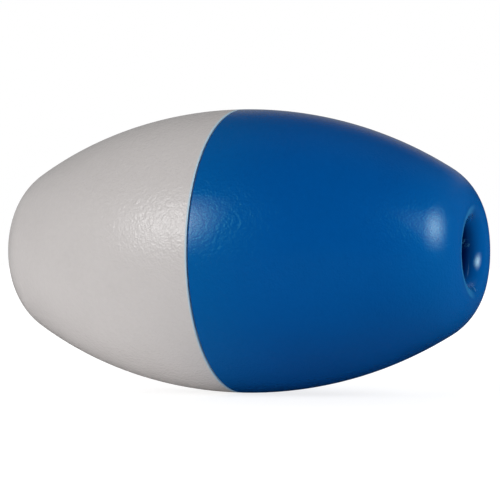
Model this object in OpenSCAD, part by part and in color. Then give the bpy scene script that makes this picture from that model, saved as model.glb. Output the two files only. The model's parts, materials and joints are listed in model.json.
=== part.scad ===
// Float for a swimming-pool rope: two hollow moulded halves that turn against each other about the rope.
// Each half carries a lock collar with an off-centre hole. Half a turn brings the two holes out of line,
// and they pinch the rope between them.
// The rope runs along X. The seam between the halves is the plane X = 0, and the blue half is at +X.

/* [Float] */
// Largest diameter of the float, at the seam
body_d = 130; // [115:1:160]
// Overall length, from mouth to mouth
body_len = 221; // [180:1:280]
// Radius of the rounded nose at each end
nose_r = 29.5; // [24:0.5:36]
// Angle, up from the seam plane, at which the nose hands over to the rolled mouth
nose_turn = 65; // [55:1:75]
// Radius of the rolled edge of each mouth
lip_r = 9; // [7:0.5:12]
// Thickness of the moulded wall of skin, mouth and rope tube
shell_wall = 3; // [2.4:0.1:4]
// Rounding of the outer edge of each rim, at the seam
rim_edge_r = 0.8; // [0.4:0.1:1.2]

/* [Rope] */
// Diameter of the rope that the float is threaded on
rope_d = 19; // [14:1:23]
// Spare room for the rope in its tubes, across the diameter
rope_room = 5; // [4:0.5:7]

/* [Bulkheads] */
// Thickness of the plate that closes each air chamber
plate_t = 3.5; // [3:0.1:6]
// Width of the ledge in the shell that the plate is seated on
rim_ledge = 1.2; // [0.8:0.1:1.6]
// Wall of the boss that holds the end of a rope tube
boss_wall = 3; // [2:0.1:5]
// Length of that boss behind the plate
boss_len = 6; // [3:0.5:12]

/* [Twist lock] */
// Distance of a lock collar's hole from the float's axis
lock_offset = 4; // [2:0.1:5]
// Thinnest wall of a lock collar, beside its hole
collar_wall = 3.5; // [2.5:0.1:6]
// Length of each lock collar along the rope
collar_len = 6; // [5:0.1:10]
// Chamfer at the ends of a lock collar's hole
collar_lead = 1.2; // [0.6:0.1:1.6]
// Thickness of the blue collar's flange, in the bottom of the cup
flange_t = 4; // [3.6:0.1:5]
// Wall of the white spigot that the float turns on
spigot_wall = 3; // [2.5:0.1:5]
// Wall of the blue cup that the spigot turns in
cup_wall = 4; // [3.6:0.1:6]
// Turn between the open and the locked position, in degrees
lock_turn = 180; // [120:5:200]
// Angle that the stop lug takes up on the spigot
lug_angle = 30; // [15:5:45]
// Height of the stop lug above the spigot's end
lug_h = 1.5; // [1:0.1:1.6]
// Width of the two keys that keep a collar from turning in its seat
key_w = 5; // [3:0.1:8]
// Height of a key along the rope
key_h = 2; // [1:0.1:2]
// Depth of a key into the collar
key_depth = 1.5; // [1:0.1:2]

/* [Rings] */
// Width of the snap ring along the rope
snap_w = 2; // [1.5:0.1:2.4]
// Thickness of the snap ring across its section
snap_t = 2.4; // [2:0.1:2.8]
// Angle of the slit in the snap ring
snap_slit = 25; // [10:1:40]
// Diameter of the friction ring, at the middle of its cord
friction_d = 90; // [82:1:96]
// Thickness of the friction ring's cord
friction_cord = 2.4; // [2:0.1:2.6]

/* [Clearances] */
// Gap between the two halves at the seam
seam_gap = 0.4; // [0.3:0.05:0.8]
// Gap between pieces that are fixed to each other
fit_gap = 0.1; // [0.05:0.01:0.2]
// Gap between pieces that turn past each other
run_gap = 0.3; // [0.2:0.01:0.5]

/* [Hidden] */
$fn = 160;
// Neighbouring arcs lap by this much, so that their outlines cross cleanly
lap = 0.01;
// Overrun of a cut beyond the surface that it opens
over = 1;

// Radii about the rope axis
body_r = body_d / 2;
bore_r = (rope_d + rope_room) / 2;
tube_r = bore_r + shell_wall;
rebate_r = body_r - shell_wall + rim_ledge;
boss_in_r = tube_r + fit_gap;
collar_r = bore_r + lock_offset + collar_wall;
spigot_in_r = collar_r + run_gap;
spigot_r = spigot_in_r + spigot_wall;
cup_in_r = spigot_r + run_gap;
cup_r = cup_in_r + cup_wall;
snap_in_r = spigot_r - snap_t / 2;
snap_out_r = snap_in_r + snap_t;
// The spigot's end is chamfered past the ring's grip, so that it springs the ring open as it goes in
spigot_lead = snap_t / 2 + 2 * fit_gap;
spigot_end_r = spigot_r - spigot_lead;
friction_r = friction_d / 2;

// Distances along the rope from the seam plane, towards the blue nose
face = seam_gap / 2;
half_len = body_len / 2;
plate_back = face + plate_t;
white_collar_end = collar_len - face;
blue_collar_end = white_collar_end + run_gap;
cup_floor = blue_collar_end + collar_len;
flange_end = cup_floor - flange_t;
spigot_end = flange_end - run_gap;
lug_end = spigot_end + lug_h;
track_back = lug_end + run_gap;
cup_back = cup_floor + plate_t;
snap_mid = (face + spigot_end) / 2;
friction_mid = face - run_gap - friction_cord / 2;

// The outline of a half is three arcs, each tangent to the next: side, nose and lip.
// A centre is [distance from the rope axis, distance from the seam plane].
nose_dir = [cos(nose_turn), sin(nose_turn)];
lip_c = [bore_r + lip_r - lap, half_len - lip_r];
nose_c = lip_c - (nose_r - lip_r + lap) * nose_dir;
// The side arc stands square to the seam plane and meets the nose arc, which sets its radius
nose_in = nose_c[0] - body_r;
nose_reach = nose_r - lap;
side_r = (nose_reach ^ 2 - nose_in ^ 2 - nose_c[1] ^ 2) / (2 * (nose_in + nose_reach));
side_c = [body_r - side_r, 0];
side_turn = atan2(nose_c[1], nose_c[0] - side_c[0]);
side_dir = [cos(side_turn), sin(side_turn)];

// Centre of the rounding at the outer edge of the rim
edge_z = face + rim_edge_r - lap;
edge_c = [side_c[0] + sqrt((side_r - rim_edge_r + lap) ^ 2 - edge_z ^ 2), edge_z];

// Places of a collar's keys about the rope, square to the line of its off-centre hole
key_turns = [90, 270];
// Place of the stop lug about the rope, and the angle beside it that keeps the running gap
lug_middle = 90;
lug_room = run_gap / spigot_in_r * 180 / PI;

module along_rope() {
    rotate([0, 90, 0]) children();
}

// Section of a ring about the rope, between two radii and two distances along it
module ring(in_r, out_r, from, to) {
    translate([in_r, from]) square([out_r - in_r, to - from]);
}

// Part of a ring, centred on an angle about the rope
module arc_ring(in_r, out_r, from, to, middle, sweep) {
    rotate([0, 0, middle - sweep / 2])
        rotate_extrude(angle = sweep) ring(in_r, out_r, from, to);
}

// The stretch of the side arc, from the seam plane up to the line through the side and nose centres
module side_section(inset) {
    top = side_c + (side_r + over) * side_dir;
    intersection() {
        translate(side_c) circle(side_r - inset);
        polygon([[0, 0], [body_r + over, 0], [body_r + over, top[1]], top,
                 [0, -side_c[0] * tan(side_turn)]]);
    }
}

// The stretch of the nose arc, outside the line through the nose and lip centres
module nose_section(inset) {
    out = 2 * nose_r * [nose_dir[1], -nose_dir[0]];
    foot = nose_c - nose_r * nose_dir;
    top = nose_c + (nose_r + over) * nose_dir;
    intersection() {
        translate(nose_c) circle(nose_r - inset);
        polygon([foot, foot + out, top + out, top]);
    }
}

// One half of the float, from the seam plane to its mouth, with all its walls moved in by the inset
module half_section(inset) {
    difference() {
        union() {
            side_section(inset);
            nose_section(inset);
            translate(lip_c) circle(lip_r - inset);
            polygon([[0, 0], nose_c + nose_r / 2 * side_dir, lip_c, [0, lip_c[1]]]);
        }
        ring(-nose_r, bore_r + inset, -over, half_len + over);
    }
}

module rim_edge_cut() {
    difference() {
        ring(edge_c[0], body_r + over, face - over, edge_c[1]);
        translate(edge_c) circle(rim_edge_r);
    }
}

// Moulded half: skin, rolled mouth and rope tube in one wall, with a rebate for its plate
module half_shell(tube_end) {
    rotate_extrude()
        difference() {
            half_section(0);
            half_section(shell_wall);
            ring(0, body_r + over, -over, face);
            ring(rebate_r - 2 * rim_ledge, rebate_r, -over, plate_back);
            ring(0, tube_r + over, -over, tube_end);
            rim_edge_cut();
        }
}

// Two bars opposite each other, inside a radius: the keys, or with a gap round them their notches
module key_pair(seat_r, from, to, gap) {
    for (turn = key_turns)
        rotate([0, 0, turn])
            translate([seat_r - key_depth - gap, -key_w / 2 - gap, from])
                cube([key_depth + gap + over, key_w + 2 * gap, to - from]);
}

// Off-centre rope hole through a collar, opened out at both ends
module rope_hole(from, to) {
    translate([-lock_offset, 0, 0])
        rotate_extrude()
            polygon([[0, from - over], [bore_r + collar_lead + over, from - over],
                     [bore_r, from + collar_lead], [bore_r, to - collar_lead],
                     [bore_r + collar_lead + over, to + over], [0, to + over]]);
}

module white_shell() {
    color("gainsboro")
        along_rope() mirror([0, 0, 1]) half_shell(face);
}

module blue_shell() {
    color("royalblue")
        along_rope() half_shell(cup_floor);
}

// Spigot wall with its chamfered end
module spigot_section() {
    polygon([[spigot_in_r, -plate_back], [spigot_r, -plate_back], [spigot_r, spigot_end - spigot_lead],
             [spigot_end_r, spigot_end], [spigot_in_r, spigot_end]]);
}

module white_bulkhead() {
    color("whitesmoke")
        along_rope() {
            rotate_extrude()
                difference() {
                    union() {
                        ring(boss_in_r, rebate_r - fit_gap, -plate_back, -face);
                        ring(boss_in_r, boss_in_r + boss_wall, -plate_back - boss_len, -face);
                        spigot_section();
                    }
                    ring(snap_in_r - fit_gap, spigot_r + over,
                         snap_mid - snap_w / 2 - fit_gap, snap_mid + snap_w / 2 + fit_gap);
                    ring(friction_r - friction_cord / 2 - fit_gap, friction_r + friction_cord / 2 + fit_gap,
                         friction_mid - friction_cord / 2 - fit_gap, over);
                }
            arc_ring(spigot_in_r + fit_gap, spigot_end_r - fit_gap, spigot_end - over, lug_end,
                     lug_middle, lug_angle);
            key_pair(spigot_in_r, -face - over, key_h - face, 0);
        }
}

module blue_bulkhead() {
    color("mediumblue")
        along_rope() {
            rotate_extrude()
                difference() {
                    union() {
                        ring(cup_in_r, rebate_r - fit_gap, face, plate_back);
                        ring(cup_in_r, cup_r, face, cup_back);
                        ring(boss_in_r, cup_r, cup_floor, cup_back);
                        ring(boss_in_r, boss_in_r + boss_wall, cup_floor, cup_back + boss_len);
                    }
                    // Deep enough to take the whole snap ring as it springs open
                    ring(cup_in_r - over, cup_in_r + snap_t,
                         snap_mid - snap_w / 2 - run_gap, snap_mid + snap_w / 2 + run_gap);
                }
            key_pair(cup_in_r, cup_floor - key_h, cup_floor + over, 0);
        }
}

module white_lock_collar() {
    color("dimgray")
        along_rope()
            difference() {
                rotate_extrude() ring(0, spigot_in_r - fit_gap, -face, white_collar_end);
                rope_hole(-face, white_collar_end);
                key_pair(spigot_in_r, -face - over, key_h - face + fit_gap, fit_gap);
            }
}

// The track under the flange gives the lug room for the lock's turn, and its ends are the stops
module blue_lock_collar() {
    track_angle = lug_angle + lock_turn + 2 * lug_room;
    color("dimgray")
        along_rope()
            difference() {
                rotate_extrude() {
                    ring(0, collar_r, blue_collar_end, cup_floor);
                    ring(0, cup_in_r - fit_gap, flange_end, cup_floor);
                }
                arc_ring(collar_r + fit_gap, cup_in_r + over, flange_end - over, track_back,
                         lug_middle - lock_turn / 2, track_angle);
                rope_hole(blue_collar_end, cup_floor);
                key_pair(cup_in_r, cup_floor - key_h - fit_gap, cup_floor + over, fit_gap);
            }
}

// The slit lies across from the stop lug
module snap_ring() {
    color("silver")
        along_rope()
            arc_ring(snap_in_r, snap_out_r, snap_mid - snap_w / 2, snap_mid + snap_w / 2,
                     lug_middle, 360 - snap_slit);
}

module friction_ring() {
    color("black")
        along_rope()
            rotate_extrude()
                translate([friction_r, friction_mid]) circle(d = friction_cord);
}

white_shell();
white_bulkhead();
white_lock_collar();
friction_ring();
blue_shell();
blue_bulkhead();
blue_lock_collar();
snap_ring();
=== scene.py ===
import json
import math

import bpy
import numpy as np
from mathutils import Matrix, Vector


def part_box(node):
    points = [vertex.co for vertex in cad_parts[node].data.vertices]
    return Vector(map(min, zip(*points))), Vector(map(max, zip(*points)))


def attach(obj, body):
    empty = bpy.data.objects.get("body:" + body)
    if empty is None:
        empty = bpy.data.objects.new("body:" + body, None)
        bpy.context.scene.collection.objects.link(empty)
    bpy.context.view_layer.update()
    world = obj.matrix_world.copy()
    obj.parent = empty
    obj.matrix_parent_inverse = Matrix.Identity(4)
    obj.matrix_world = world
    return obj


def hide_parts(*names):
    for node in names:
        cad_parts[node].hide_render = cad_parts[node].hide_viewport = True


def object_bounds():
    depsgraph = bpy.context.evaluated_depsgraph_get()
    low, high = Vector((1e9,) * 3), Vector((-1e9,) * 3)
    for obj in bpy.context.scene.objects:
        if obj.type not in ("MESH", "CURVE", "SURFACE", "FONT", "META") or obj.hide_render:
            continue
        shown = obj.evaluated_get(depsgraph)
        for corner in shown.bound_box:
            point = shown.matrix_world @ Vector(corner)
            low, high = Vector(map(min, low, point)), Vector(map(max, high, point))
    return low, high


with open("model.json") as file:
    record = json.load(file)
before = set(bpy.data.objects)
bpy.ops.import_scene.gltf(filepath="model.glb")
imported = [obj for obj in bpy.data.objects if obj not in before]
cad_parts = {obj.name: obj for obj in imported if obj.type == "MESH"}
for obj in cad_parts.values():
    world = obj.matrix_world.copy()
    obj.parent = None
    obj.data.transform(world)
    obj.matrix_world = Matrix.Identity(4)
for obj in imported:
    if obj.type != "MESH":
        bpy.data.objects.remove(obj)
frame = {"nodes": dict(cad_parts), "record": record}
cad_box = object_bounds()


# White shell: one half of the float, a hollow moulding of white polyethylene with a rolled mouth for the
# rope. Skin, mouth and rope tube are one thin wall, and its outside keeps the orange peel of the mould.
# A rebate inside its rim takes the bulkhead that closes the air chamber.
belly_r = min(cad_box[1].y, cad_box[1].z)
half_length = min(-cad_box[0].x, cad_box[1].x)
bore_r = frame["record"]["mounts"][0]["dims"]["r_mm"] / 1000
nose_r = 0.0295
nose_turn = 65
lip_r = 0.009
lip_start = half_length - lip_r
wall = 0.003
rim_edge_r = 0.0008
rim_ledge = 0.0012
rebate_r = belly_r - wall + rim_ledge
boss_len = 0.006
seam_face = -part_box("white_shell")[1].x
plate_back = -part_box("white_bulkhead")[0].x - boss_len
round_steps = 320
crease_angle = 40


def arc(centre, radius, start, stop, count):
    """Points of a circle's arc: centre + radius (cos t, sin t), with t from start to stop in degrees."""
    t = np.radians(np.linspace(start, stop, count))
    return np.column_stack((centre[0] + radius * np.cos(t), centre[1] + radius * np.sin(t)))


def stretch(start, stop, count):
    """Points of a straight line between two ends, without the ends themselves."""
    share = np.linspace(0, 1, count + 2)[1:-1, None]
    return np.asarray(start) * (1 - share) + np.asarray(stop) * share


def half_outline(tube_end):
    """Closed section of a half, as points (distance from the rope axis, distance from the seam plane).
    Outside it is three tangent arcs, for side, nose and lip. The side arc is centred in the seam plane,
    and its radius R follows from touching the nose circle from within: the distance between the centres
    of side and nose is R - nose_r. The inside is the same arcs, smaller by the wall."""
    lip_c = np.array((bore_r + lip_r, lip_start))
    nose_dir = np.array((math.cos(math.radians(nose_turn)), math.sin(math.radians(nose_turn))))
    nose_c = lip_c - (nose_r - lip_r) * nose_dir
    inset = nose_c[0] - belly_r
    side_r = (nose_r**2 - inset**2 - nose_c[1] ** 2) / (2 * (inset + nose_r))
    side_c = np.array((belly_r - side_r, 0))
    side_turn = math.degrees(math.atan2(nose_c[1], nose_c[0] - side_c[0]))
    edge_turn = math.degrees(math.asin((seam_face + rim_edge_r) / (side_r - rim_edge_r)))
    edge_c = arc(side_c, side_r - rim_edge_r, edge_turn, edge_turn, 1)[0]
    ledge_turn = math.degrees(math.asin(plate_back / (side_r - wall)))
    tube_r = bore_r + wall
    return np.concatenate((
        arc(edge_c, rim_edge_r, -90, edge_turn, 13),
        arc(side_c, side_r, edge_turn, side_turn, 90)[1:],
        arc(nose_c, nose_r, side_turn, nose_turn, 34)[1:],
        arc(lip_c, lip_r, nose_turn, 180, 50)[1:],
        stretch((bore_r, lip_start), (bore_r, tube_end), 40),
        [(bore_r, tube_end), (tube_r, tube_end)],
        stretch((tube_r, tube_end), (tube_r, lip_start), 6),
        arc(lip_c, lip_r - wall, 180, nose_turn, 13),
        arc(nose_c, nose_r - wall, nose_turn, side_turn, 11)[1:],
        arc(side_c, side_r - wall, side_turn, ledge_turn, 22)[1:],
        [(rebate_r, plate_back), (rebate_r, seam_face)],
    ))


def revolve(name, outline, end):
    """Surface of revolution about the rope: at turn t, the outline's point (r, d) is at (end d, r sin t,
    r cos t). The outline is a closed loop and t goes all the way round, so the grid wraps both ways."""
    rows = len(outline)
    turn = np.arange(round_steps) * 2 * math.pi / round_steps
    r = outline[:, :1]
    d = np.broadcast_to(outline[:, 1:], (rows, round_steps))
    points = np.stack((end * d, r * np.sin(turn), r * np.cos(turn)), axis=-1)
    here = np.arange(rows * round_steps).reshape(rows, round_steps)
    ahead = np.roll(here, -1, axis=0)
    quads = np.stack((here, ahead, np.roll(ahead, -1, axis=1), np.roll(here, -1, axis=1)), axis=-1)
    if end < 0:
        quads = quads[..., ::-1]
    mesh = bpy.data.meshes.new(name)
    mesh.from_pydata(points.reshape(-1, 3), [], quads.reshape(-1, 4))
    mesh.shade_smooth()
    mesh.set_sharp_from_angle(angle=math.radians(crease_angle))
    piece = bpy.data.objects.new(name, mesh)
    bpy.context.scene.collection.objects.link(piece)
    return piece


class Shade:
    """A socket in a node tree. Python's operators on it add Math nodes, so that shader maths reads as
    maths."""

    def __init__(self, tree, socket=None):
        self.tree = tree
        self.socket = socket

    def node(self, kind, settings=None, inputs=None, out=0):
        """Adds a node of this kind, makes its settings, fills its sockets by name or number, and gives
        one of its outputs."""
        made = self.tree.nodes.new("ShaderNode" + kind)
        for key, value in (settings or {}).items():
            setattr(made, key, value)
        for key, value in (inputs or {}).items():
            if isinstance(value, Shade):
                self.tree.links.new(value.socket, made.inputs[key])
            else:
                made.inputs[key].default_value = value
        return Shade(self.tree, made.outputs[out] if made.outputs else None)

    def output(self, name):
        """Another output of the node that this socket belongs to."""
        return Shade(self.tree, self.socket.node.outputs[name])

    def math(self, operation, *values):
        """A Math node on this value and others."""
        return self.node("Math", {"operation": operation}, dict(enumerate((self, *values))))

    def vector(self, operation, *values, out=0):
        """A Vector Math node on this vector and others."""
        return self.node("VectorMath", {"operation": operation}, dict(enumerate((self, *values))), out)

    def __add__(self, other):
        return self.math("ADD", other)

    __radd__ = __add__

    def __sub__(self, other):
        return self.math("SUBTRACT", other)

    def __rsub__(self, other):
        return self.math("MULTIPLY_ADD", -1.0, other)

    def __mul__(self, other):
        return self.math("MULTIPLY", other)

    __rmul__ = __mul__

    def between(self, low, high):
        """0 where the value is under low, 1 where it is over high, and a smooth step in between."""
        return self.node("MapRange", {"interpolation_type": "SMOOTHSTEP"},
                         {"Value": self, "From Min": low, "From Max": high})

    def mix(self, first, second):
        """Colour that goes from first to second as this value goes from 0 to 1."""
        return self.node("Mix", {"data_type": "RGBA"}, {0: self, 6: first, 7: second}, out=2)

    def dot(self, axis):
        """How far this vector reaches along an axis."""
        return self.vector("DOT_PRODUCT", axis, out="Value")

    def length(self):
        """How long this vector is."""
        return self.vector("LENGTH", out="Value")

    def distance(self, point):
        """How far this place is from a point."""
        return self.vector("DISTANCE", point, out="Value")

    def noise(self, size, detail=2.0, rough=0.5):
        """Noise over this vector, with lumps of about that size."""
        return self.node("TexNoise", inputs={
            "Vector": self, "Scale": 1 / size, "Detail": detail, "Roughness": rough})


def empty_finish(name):
    """A new material without nodes, its tree as a Shade, and the place of a point of the surface."""
    material = bpy.data.materials.new(name)
    material.use_nodes = True
    material.node_tree.nodes.clear()
    tree = Shade(material.node_tree)
    return material, tree, tree.node("TexCoord", out="Object")


def along_rope(place):
    """Distance of a place from the seam plane."""
    return place.dot((1, 0, 0)).math("ABSOLUTE")


def across_rope(place):
    """Vector to a place from the nearest point of the rope's axis."""
    return place.vector("MULTIPLY", (0, 1, 1))


def finish_surface(tree, base, rough, height, bump_depth, **sockets):
    """Principled shader with its colour, roughness and bump, and with any other of its sockets."""
    bump = tree.node("Bump", inputs={"Strength": 1.0, "Distance": bump_depth, "Height": height})
    shader = tree.node("BsdfPrincipled", inputs={
        "Base Color": base, "Roughness": rough, "Normal": bump, **sockets})
    tree.node("OutputMaterial", inputs={"Surface": shader})


# Sizes of the skin's marks. Each pair says where a change starts and where it is complete, except that
# the peel has pairs of a size and its share, and a scuff's place is counted from the seam.
skin_clouds = 0.045
skin_grain = 0.0024
peel_grades = ((0.0009, 0.6), (0.0018, 1.1), (0.006, 0.7))
peel_thins = (0.02, 0.08)
# The next three spans place painted light: near the seam, towards the nose and on the rim.
seam_light_fades = (-0.02, 0.045)
nose_light_starts = (0.08, 0.112)
rim_light_band = (0.0001, 0.0013)
throat_edge = (bore_r + 0.4 * lip_r, bore_r + 0.7 * lip_r)
# Painted shade, darker deeper down the tube, fades out towards the lip over this span.
tube_shade_fades = (lip_start - 0.1 * lip_r, lip_start + 0.9 * lip_r)
polish_starts = (lip_start + 0.45 * lip_r, lip_start + 0.8 * lip_r)
# A painted highlight lies on the lip between these radii, on the -Y side.
lip_glint_starts = (bore_r + 0.4 * lip_r, bore_r + 0.6 * lip_r)
lip_glint_ends = (bore_r + 0.86 * lip_r, bore_r + 1.05 * lip_r)
lip_glint_side = (-0.4, 0.1)
scuff_places = ((lip_start + 0.0005, 0.0115, 0.0035), (lip_start + 0.0075, 0.0036, -0.0155))
scuff_reach = (0.0012, 0.003)
scuff_size = 0.0016


def moulded_skin(name, end, tones, gloss, shine, film, satin, peel_depth):
    """Satin polyethylene. Clouds and grain move the colour between its plain and shaded tones. The colour
    near the seam, towards the nose and on the rim is painted light: painted shade near the seam and
    painted blue bounce light on the rim of the white, a painted sheen near the seam and at the nose and
    painted shade on the rim of the blue. Orange peel is noise in three sizes, as bump, weaker on the
    stretched nose and rubbed off in the mouth. In the mouth, painted shade deepens down the tube, a
    painted highlight lies along one side of the lip, the rope scuffs the lip in places and polishes its
    inside. The rest of the skin may have a thin film of clear gloss."""
    material, tree, place = empty_finish(name)
    along = along_rope(place)
    across = across_rope(place)
    out = across.length()
    clouds = place.noise(skin_clouds, 3)
    mottle = (clouds * 0.7 + place.noise(skin_grain) * 0.3).between(0.3, 0.75)
    mottled = mottle.mix(tones["plain"], tones["shaded"])
    # Painted light near the seam: painted shade on the white, a painted sheen on the blue.
    seam_lit = along.between(*seam_light_fades).mix(tones["seam_painted_light"], mottled)
    # Painted light towards the nose: a painted sheen on the blue.
    nose_lit = along.between(*nose_light_starts).mix(seam_lit, tones["nose"])
    # Painted light on the rim: painted blue bounce light on the white, painted shade on the blue.
    rim_lit = along.between(*rim_light_band).mix(tones["rim"], nose_lit)
    # Painted shade in the mouth, darker deeper down the tube.
    throat = 1 - out.between(*throat_edge)
    tube_shade_mask = throat * (1 - along.between(*tube_shade_fades)) * 0.93
    painted_tube_shade = tube_shade_mask.mix(rim_lit, tones["painted_tube_shade"])
    # A painted highlight along the lip on the -Y side.
    side = 1 - across.vector("NORMALIZE").dot((0, 1, 0)).between(*lip_glint_side)
    lip_glint_mask = out.between(*lip_glint_starts) * (1 - out.between(*lip_glint_ends)) * side
    lip_glint = lip_glint_mask.mix(painted_tube_shade, tones["lip_glint"])
    rubbed = sum(1 - place.distance((end * far, aside, up)).between(*scuff_reach)
                 for far, aside, up in scuff_places)
    scuffs = place.noise(scuff_size, 3, 0.65).between(0.52, 0.64) * rubbed
    peel = sum(place.noise(size, 1) * share for size, share in peel_grades)
    polish = along.between(*polish_starts)
    finish_surface(
        tree, (scuffs * 0.7).mix(lip_glint, tones["scuffed"]),
        satin + clouds * 0.06 - throat * 0.13 + scuffs * 0.3,
        peel * (1.5 - along.between(*peel_thins) * 0.6) * (1 - throat * 0.8), peel_depth,
        **{"IOR": 1.5, "Specular IOR Level": shine, "Specular Tint": gloss,
           "Coat Weight": polish * throat + (1 - polish) * film, "Coat Roughness": 0.1})
    return material


# Tones of the skin. Those for the seam, the nose and the rim are painted light, the one for the tube is
# painted shade, and the pale one for the lip is a painted highlight.
white_tones = {
    "plain": (0.657, 0.625, 0.615, 1),
    "shaded": (0.622, 0.59, 0.58, 1),
    "seam_painted_light": (0.59, 0.561, 0.552, 1),
    "nose": (0.65, 0.618, 0.61, 1),
    "rim": (0.42, 0.68, 0.84, 1),
    "painted_tube_shade": (0.32, 0.30, 0.27, 1),
    "lip_glint": (0.66, 0.64, 0.63, 1),
    "scuffed": (0.54, 0.51, 0.49, 1),
}
white_gloss = (1, 1, 1, 1)
white_shell = revolve("white_shell_moulding", half_outline(seam_face), -1)
white_shell.data.materials.append(moulded_skin(
    "white_polyethylene", -1, white_tones, white_gloss,
    shine=0.38, film=0.0, satin=0.19, peel_depth=0.00012))
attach(white_shell, "white_half")
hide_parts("white_shell")


# White bulkhead: a plate moulded in the same white polyethylene, with the spigot that the float turns on.
# It is spun until its edge melts into the rebate of the shell, which leaves a glossy ring there.
weld_width = 0.002
flow_marks = 12
plate_grain = 0.0007
plate_rough = 0.42
plate_relief = 0.00003


def moulded_plate(name, tones, gloss):
    """Plain moulded plate. Flow marks run out from the middle: noise over the heading, which changes fast
    round the plate and slowly along a radius. The welded edge is smoother, and a little darker."""
    material, tree, place = empty_finish(name)
    across = across_rope(place)
    heading = across.vector("NORMALIZE")
    flow = heading.vector("MULTIPLY_ADD", (flow_marks, flow_marks, flow_marks), place).noise(1.0, 3)
    grain = place.noise(plate_grain)
    weld = across.length().between(rebate_r - weld_width, rebate_r - 0.5 * weld_width)
    tone = (flow.between(0.3, 0.7) * 0.8 + weld * 0.4).math("MINIMUM", 1.0)
    finish_surface(
        tree, tone.mix(tones["plain"], tones["shaded"]),
        plate_rough + flow * 0.12 + grain * 0.08 - weld * 0.2,
        grain * (1 - weld) + flow * 2, plate_relief,
        **{"IOR": 1.5, "Specular IOR Level": 0.4, "Specular Tint": gloss})
    return material


def refinish(node, material):
    """Gives a CAD node another material in every slot that it has."""
    for slot in frame["nodes"][node].material_slots:
        slot.material = material


refinish("white_bulkhead", moulded_plate("white_plate", white_tones, white_gloss))


# White lock collar: a bush of dark acetal with an off-centre hole, pushed into the spigot on two keys.
# The rope runs through the hole and polishes it, in streaks along the rope.
collar_dark = (0.085, 0.085, 0.095, 1)
collar_pale = (0.125, 0.125, 0.135, 1)
collar_clouds = 0.008
collar_grain = 0.0005
collar_rough = 0.46
collar_relief = 0.00002
lock_offset = 0.004
polish_depth = 0.0015
streak_width = 0.0006
streak_squeeze = 0.06


def rope_worn_bush(name):
    """Dark moulded plastic. Streaks are noise stretched along the rope, and show where the point is near
    the hole's wall: the distance from the hole's own axis is then close to the bore's radius."""
    material, tree, place = empty_finish(name)
    from_hole = place.vector("MULTIPLY_ADD", (0, 1, 1), (0, 0, -lock_offset))
    polish = 1 - from_hole.length().between(bore_r + 0.2 * polish_depth, bore_r + polish_depth)
    streaks = place.vector("MULTIPLY", (streak_squeeze, 1, 1)).noise(streak_width, 3, 0.6)
    clouds = place.noise(collar_clouds, 3)
    grain = place.noise(collar_grain)
    tone = clouds.between(0.35, 0.7) * 0.5 + polish * streaks.between(0.45, 0.6) * 0.5
    finish_surface(
        tree, tone.mix(collar_dark, collar_pale),
        collar_rough + grain * 0.1 + clouds * 0.06 - polish * 0.24,
        grain * (1 - polish) + polish * streaks * 1.5, collar_relief,
        **{"IOR": 1.48, "Specular IOR Level": 0.5})
    return material


bush_finish = rope_worn_bush("dark_acetal")
refinish("white_lock_collar", bush_finish)


# Friction ring: a ring of black rubber cord, laid in a groove of the white plate.
# The blue plate squeezes it, so that the lock stays where it is put, and rubs that face of it shiny.
rubber_black = (0.018, 0.018, 0.019, 1)
rubber_bloom = (0.06, 0.06, 0.058, 1)
rubber_clouds = 0.006
rubber_pores = 0.0003
rubber_rough = 0.62
rubber_relief = 0.00002
squeezed_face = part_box("friction_ring")[1].x
squeezed_band = (squeezed_face - 0.0006, squeezed_face - 0.0001)
rubber, rubber_tree, rubber_place = empty_finish("black_rubber")
shiny = rubber_place.dot((1, 0, 0)).between(*squeezed_band)
bloom = rubber_place.noise(rubber_clouds, 4, 0.6).between(0.48, 0.72) * (1 - shiny)
pores = rubber_place.noise(rubber_pores)
finish_surface(
    rubber_tree, bloom.mix(rubber_black, rubber_bloom),
    rubber_rough + bloom * 0.2 + pores * 0.08 - shiny * 0.25,
    pores * (1 - shiny * 0.7), rubber_relief,
    **{"IOR": 1.52, "Specular IOR Level": 0.4})
refinish("friction_ring", rubber)


# Blue shell: the other half, the same moulding in blue polyethylene, with its own rolled mouth.
# Its rope tube is shorter, because the cup of the twist lock takes up the space behind the seam.
# The pigment reaches the surface, so that the gloss is bluish too, under a thin film that is clear.
# Tones of the skin. Those for the seam and the nose are a painted sheen, those for the rim and the tube
# are painted shade, and the pale one for the lip is a painted highlight.
blue_tones = {
    "plain": (0.0, 0.081, 0.327, 1),
    "shaded": (0.0, 0.074, 0.3, 1),
    "seam_painted_light": (0.0, 0.101, 0.348, 1),
    "nose": (0.0, 0.1, 0.37, 1),
    "rim": (0.0, 0.055, 0.25, 1),
    "painted_tube_shade": (0.0, 0.005, 0.075, 1),
    "lip_glint": (0.02, 0.2, 0.49, 1),
    "scuffed": (0.05, 0.22, 0.45, 1),
}
blue_gloss = (0.05, 0.48, 0.57, 1)
blue_tube_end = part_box("blue_lock_collar")[1].x
blue_shell = revolve("blue_shell_moulding", half_outline(blue_tube_end), 1)
blue_shell.data.materials.append(moulded_skin(
    "blue_polyethylene", 1, blue_tones, blue_gloss,
    shine=0.48, film=0.37, satin=0.23, peel_depth=0.00013))
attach(blue_shell, "blue_half")
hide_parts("blue_shell")


# Blue bulkhead: the plate that closes the blue air chamber, moulded in blue polyethylene with a cup at
# its middle. The spigot turns in the cup. The plate's edge is welded into its shell like the white one's.
refinish("blue_bulkhead", moulded_plate("blue_plate", blue_tones, blue_gloss))


# Blue lock collar: the second bush of dark acetal, keyed into the bottom of the cup.
# Its hole is off-centre too, and the track under its flange stops the turn at both ends.
refinish("blue_lock_collar", bush_finish)


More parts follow.
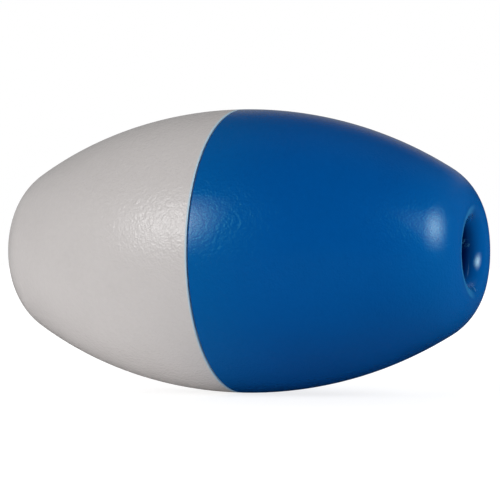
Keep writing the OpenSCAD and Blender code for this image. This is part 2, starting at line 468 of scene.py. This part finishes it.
# Snap ring: a split ring bent from flat-ground spring steel, which sits in grooves of spigot and cup.
# It springs open as the halves are pushed together, and then holds them. A trace of oil stays on it.
steel_bright = (0.60, 0.59, 0.57, 1)
steel_oiled = (0.40, 0.37, 0.33, 1)
steel_lines = 0.00012
steel_rough = 0.28
steel_relief = 0.00001
oil_patches = 0.007
steel, steel_tree, steel_place = empty_finish("spring_steel")
round_lines = steel_tree.node("CombineXYZ", inputs={
    "X": along_rope(steel_place), "Y": across_rope(steel_place).length()})
grinding = round_lines.noise(steel_lines, 3, 0.6)
oil = steel_place.noise(oil_patches, 4, 0.6).between(0.45, 0.75)
finish_surface(
    steel_tree, (oil * 0.7 + grinding * 0.2).mix(steel_bright, steel_oiled),
    steel_rough + grinding * 0.18 + oil * 0.12,
    grinding, steel_relief, **{"Metallic": 1.0})
refinish("snap_ring", steel)


# Studio: a pale floor that the float lies on, a white room, and a soft box on either side of the camera.
# Fill light comes from the sides, from behind most, and up from the floor, more under the white half.
# The gloss shows room and floor only behind the float, so that the blue keeps its depth.
black = (0, 0, 0, 1)
white = (1, 1, 1, 1)
camera_turn = 23.0
to_right = (math.cos(math.radians(camera_turn)), math.sin(math.radians(camera_turn)), 0)
behind = (-to_right[1], to_right[0], 0)
floor_half = 6.0
floor_z = cad_box[0].z
floor_corners = np.array([(-1, -1, 0), (1, -1, 0), (1, 1, 0), (-1, 1, 0)]) * floor_half + (0, 0, floor_z)
floor_mesh = bpy.data.meshes.new("floor")
floor_mesh.from_pydata(floor_corners, [], [(0, 1, 2, 3)])
floor = bpy.data.objects.new("floor", floor_mesh)
bpy.context.scene.collection.objects.link(floor)


def ray_kinds(tree):
    """What kind of ray arrives, as three values of 0 or 1: one of the camera's own, one that is mirrored
    or comes through glass, and one that gathers soft light."""
    camera_rays = tree.node("LightPath", out="Is Camera Ray")
    mirrored = camera_rays.output("Is Glossy Ray") + camera_rays.output("Is Transmission Ray")
    return camera_rays, mirrored.math("MINIMUM", 1.0), camera_rays.output("Is Diffuse Ray")


floor_grey = (0.7, 0.7, 0.7, 1)
floor_white = 0.8
floor_shadow = 0.5
floor_fades = (0.15, 0.5)
floor_close = (0.09, 0.16)
bounce_left = 0.31
bounce_right = 0.11
bounce_close = 0.085
far_floor_mirrored = 0.2
nose_floor_mirrored = 0.02
floor_finish, floor_tree, spot = empty_finish("pale_floor")
camera_rays, mirrored, gathered = ray_kinds(floor_tree)
from_float = spot.length()
spot_right = spot.dot(to_right)
spot_rear = spot.dot(behind)
shown = floor_white + from_float.between(*floor_fades) * (1 - floor_white)
far_floor = spot_rear.between(0.15, 0.9) * (1 - spot_right.between(0.1, 0.5)) * far_floor_mirrored
nose_floor = spot_rear.between(0, 0.08) * spot_right.between(-0.02, 0.08) * nose_floor_mirrored
bounce = (bounce_left - spot_right.between(-0.08, 0.08) * (bounce_left - bounce_right)
          + (1 - from_float.between(*floor_close)) * bounce_close)
paint = floor_tree.node("BsdfDiffuse", inputs={
    "Color": (mirrored + camera_rays * floor_shadow).mix(floor_grey, black)})
glow = floor_tree.node("Emission", inputs={
    "Color": white,
    "Strength": camera_rays * shown + mirrored * (far_floor + nose_floor) + gathered * bounce})
floor_tree.node("OutputMaterial", inputs={
    "Surface": floor_tree.node("AddShader", inputs={0: paint, 1: glow})})
floor_finish.cycles.emission_sampling = "NONE"
floor_mesh.materials.append(floor_finish)

fill_left = 0.4
fill_right = 0.36
fill_behind = 1.3
room_mirrored = 0.26
sheet_left = 0.16
sheet_widens = 1.2
sheet_edge = (0.05, 0.35)
sheet_top = (0.28, 0.72)
sheet_starts = (0, 0.3)
world = bpy.data.worlds.new("studio")
bpy.context.scene.world = world
world.use_nodes = True
world.cycles.sampling_method = "NONE"
world.node_tree.nodes.clear()
room = Shade(world.node_tree)
camera_rays, mirrored, gathered = ray_kinds(room)
direction = room.node("TexCoord", out="Generated")
right = direction.dot(to_right)
rise = direction.dot((0, 0, 1))
rear = direction.dot(behind)
off_sheet = (right + sheet_left).math("ABSOLUTE") - rise * sheet_widens
sheet = ((1 - off_sheet.between(*sheet_edge)) * (1 - rise.between(*sheet_top))
         * rear.between(*sheet_starts) * room_mirrored)
fill = (right.math("MAXIMUM", 0.0) * fill_right + (right * -1).math("MAXIMUM", 0.0) * fill_left
        + rear.math("MAXIMUM", 0.0) * fill_behind)
room.node("OutputWorld", inputs={"Surface": room.node("Background", inputs={
    "Color": white, "Strength": camera_rays + mirrored * sheet + gathered * fill})})

lamp_distance = 1.1
cloth_falloff = 12
cloth_gain = 3


def stand_at(azimuth, elevation, distance):
    """Place round the float: azimuth from the -Y side towards +X, and elevation, both in degrees."""
    turn = math.radians(azimuth)
    lift = math.radians(elevation)
    reach = distance * math.cos(lift)
    return reach * math.sin(turn), -reach * math.cos(turn), distance * math.sin(lift)


def soft_box(name, azimuth, elevation, width, height, power):
    """Area lamp that faces the float. Its cloth is brightest at the middle: the light falls off as
    exp(-falloff d d), where d is the distance from the middle as a share of the lamp's size."""
    lamp = bpy.data.lights.new(name, "AREA")
    lamp.shape = "RECTANGLE"
    lamp.size = width
    lamp.size_y = height
    lamp.energy = power
    lamp.use_nodes = True
    lamp.node_tree.nodes.clear()
    cloth = Shade(lamp.node_tree)
    off_middle = cloth.node("NewGeometry", out="Parametric").distance((0.5, 0.5, 0))
    strength = (off_middle * off_middle * -cloth_falloff).math("EXPONENT") * cloth_gain
    cloth.node("OutputLight", inputs={
        "Surface": cloth.node("Emission", inputs={"Color": white, "Strength": strength})})
    stand = bpy.data.objects.new(name, lamp)
    bpy.context.scene.collection.objects.link(stand)
    stand.location = stand_at(azimuth, elevation, lamp_distance)
    stand.rotation_euler = (math.radians(90 - elevation), 0, math.radians(azimuth))
    stand.visible_camera = False


soft_box("left_soft_box", azimuth=-30.2, elevation=19.3, width=0.6, height=0.86, power=5.65)
soft_box("right_soft_box", azimuth=70.1, elevation=22.3, width=0.92, height=0.88, power=8.2)

camera_lift = 0.1
camera_roll = -0.156
camera_distance = 1.0989
camera = bpy.data.cameras.new("camera")
camera.lens = 172.26
camera.sensor_width = 36
camera.shift_x = 0.0104
camera.shift_y = 0.0020
tripod = bpy.data.objects.new("camera", camera)
bpy.context.scene.collection.objects.link(tripod)
tripod.location = stand_at(camera_turn, camera_lift, camera_distance)
tripod.rotation_euler = np.radians((90 - camera_lift, camera_roll, camera_turn))
bpy.context.scene.camera = tripod
bpy.context.scene.view_settings.view_transform = "Standard"
